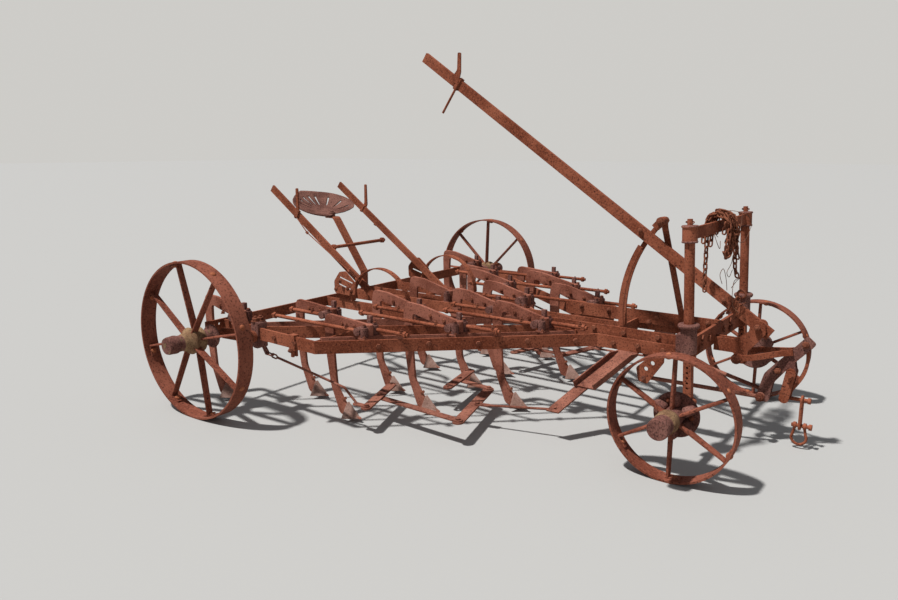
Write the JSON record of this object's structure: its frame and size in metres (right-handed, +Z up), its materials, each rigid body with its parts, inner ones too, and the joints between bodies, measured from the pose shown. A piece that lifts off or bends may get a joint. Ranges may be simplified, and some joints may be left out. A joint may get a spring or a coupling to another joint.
{
  "type": "field scarifier",
  "caption": "Rusted horse-drawn scarifier with spoked steel wheels, gooseneck tines on an angled frame, long depth levers with quadrants, a pan seat and a front hitch.",
  "frame": {"origin": "on the floor under the centre of the whole machine", "axes": "+X forward to the hitch, +Y to the left of the machine, +Z up"},
  "size_m": [3.729, 3.435, 2.1408],
  "materials": {
    "frame_rust": "rough rust",
    "wheel_rust": "rough rust",
    "tine_rust": "rough rust",
    "rusted_casting": "rough rust"
  },
  "bodies": {
    "frame": {"beam_chain": "frame_rust", "centre_tine": "tine_rust", "cross_bar": "frame_rust", "draft_plates": "frame_rust", "draft_rods": "frame_rust", "evener_links": "frame_rust", "evener_rods": "frame_rust", "eveners": "frame_rust", "front_bar": "frame_rust", "front_draft_plates": "frame_rust", "front_quadrant": "frame_rust", "hitch_arms": "frame_rust", "hitch_links": "frame_rust", "hitch_yoke": "rusted_casting", "inner_rails": "frame_rust", "inner_tines": "tine_rust", "lever_link": "frame_rust", "lever_shafts": "frame_rust", "long_bars": "frame_rust", "outer_rails": "frame_rust", "outer_tines": "tine_rust", "post_beam": "frame_rust", "post_sleeves": "rusted_casting", "posts": "frame_rust", "rail_clamps": "frame_rust", "rear_beam": "frame_rust", "rear_brackets": "rusted_casting", "rear_cranks": "frame_rust", "rear_quadrants": "frame_rust", "seat_pan": "frame_rust", "seat_spring": "frame_rust", "slotted_plates": "frame_rust", "spreaders": "frame_rust", "tie_rods": "frame_rust", "tine_bars": "tine_rust", "tine_bosses": "rusted_casting", "tine_saddles": "tine_rust", "upper_rails": "frame_rust"},
    "steering_right": {"steering_stem_right": "frame_rust"},
    "steering_left": {"steering_stem_left": "frame_rust"},
    "front_wheel_right": {"front_right_rim": "wheel_rust", "front_right_spokes": "wheel_rust", "front_right_hub": "rusted_casting"},
    "front_wheel_left": {"front_left_rim": "wheel_rust", "front_left_spokes": "wheel_rust", "front_left_hub": "rusted_casting"},
    "rear_wheel_right": {"rear_right_rim": "wheel_rust", "rear_right_spokes": "wheel_rust", "rear_right_hub": "rusted_casting"},
    "rear_wheel_left": {"rear_left_rim": "wheel_rust", "rear_left_spokes": "wheel_rust", "rear_left_hub": "rusted_casting"},
    "rear_lever_right": {"rear_lever_right": "frame_rust"},
    "rear_lever_left": {"rear_lever_left": "frame_rust"},
    "front_lever": {"front_lever": "frame_rust"},
    "long_link": {"long_link": "frame_rust"},
    "shackle": {"shackle": "frame_rust"}
  },
  "joints": [
    {"name": "steering_right_turn", "type": "hinge", "parent": "frame", "child": "steering_right", "pos_m": [1.3615, -0.485, 0.55], "axis": [-0.0523, 0, 0.9986], "range_deg": [-25, 25]},
    {"name": "front_right_wheel_spin", "type": "hinge", "parent": "steering_right", "child": "front_wheel_right", "pos_m": [1.3915, -0.76, 0.305], "axis": [0, 1, 0], "continuous": true},
    {"name": "rear_right_wheel_spin", "type": "hinge", "parent": "frame", "child": "rear_wheel_right", "pos_m": [-1.1285, -1.5375, 0.457], "axis": [0, 1, 0], "continuous": true},
    {"name": "rear_right_lever_lift", "type": "hinge", "parent": "frame", "child": "rear_lever_right", "pos_m": [-0.7285, -0.345, 0.5], "axis": [0, 1, 0], "range_deg": [0, 75]},
    {"name": "steering_left_turn", "type": "hinge", "parent": "frame", "child": "steering_left", "pos_m": [1.3615, 0.485, 0.55], "axis": [-0.0523, 0, 0.9986], "range_deg": [-25, 25]},
    {"name": "front_left_wheel_spin", "type": "hinge", "parent": "steering_left", "child": "front_wheel_left", "pos_m": [1.3915, 0.76, 0.305], "axis": [0, 1, 0], "continuous": true},
    {"name": "rear_left_wheel_spin", "type": "hinge", "parent": "frame", "child": "rear_wheel_left", "pos_m": [-1.1285, 1.5375, 0.457], "axis": [0, 1, 0], "continuous": true},
    {"name": "rear_left_lever_lift", "type": "hinge", "parent": "frame", "child": "rear_lever_left", "pos_m": [-0.7285, 0.345, 0.5], "axis": [0, 1, 0], "range_deg": [0, 75]},
    {"name": "front_lever_lift", "type": "hinge", "parent": "frame", "child": "front_lever", "pos_m": [1.5675, 0, 0.62], "axis": [0, 1, 0], "range_deg": [-27, 2]},
    {"name": "long_link_swing", "type": "hinge", "parent": "frame", "child": "long_link", "pos_m": [1.8065, 0, 0.264], "axis": [1, 0, 0], "range_deg": [-40, 40]},
    {"name": "shackle_swing", "type": "hinge", "parent": "long_link", "child": "shackle", "pos_m": [1.8065, 0, 0.125], "axis": [1, 0, 0], "range_deg": [-40, 40]}
  ],
  "couplings": [
    {"joint": "steering_left_turn", "follows": "steering_right_turn", "ratio": 1}
  ]
}
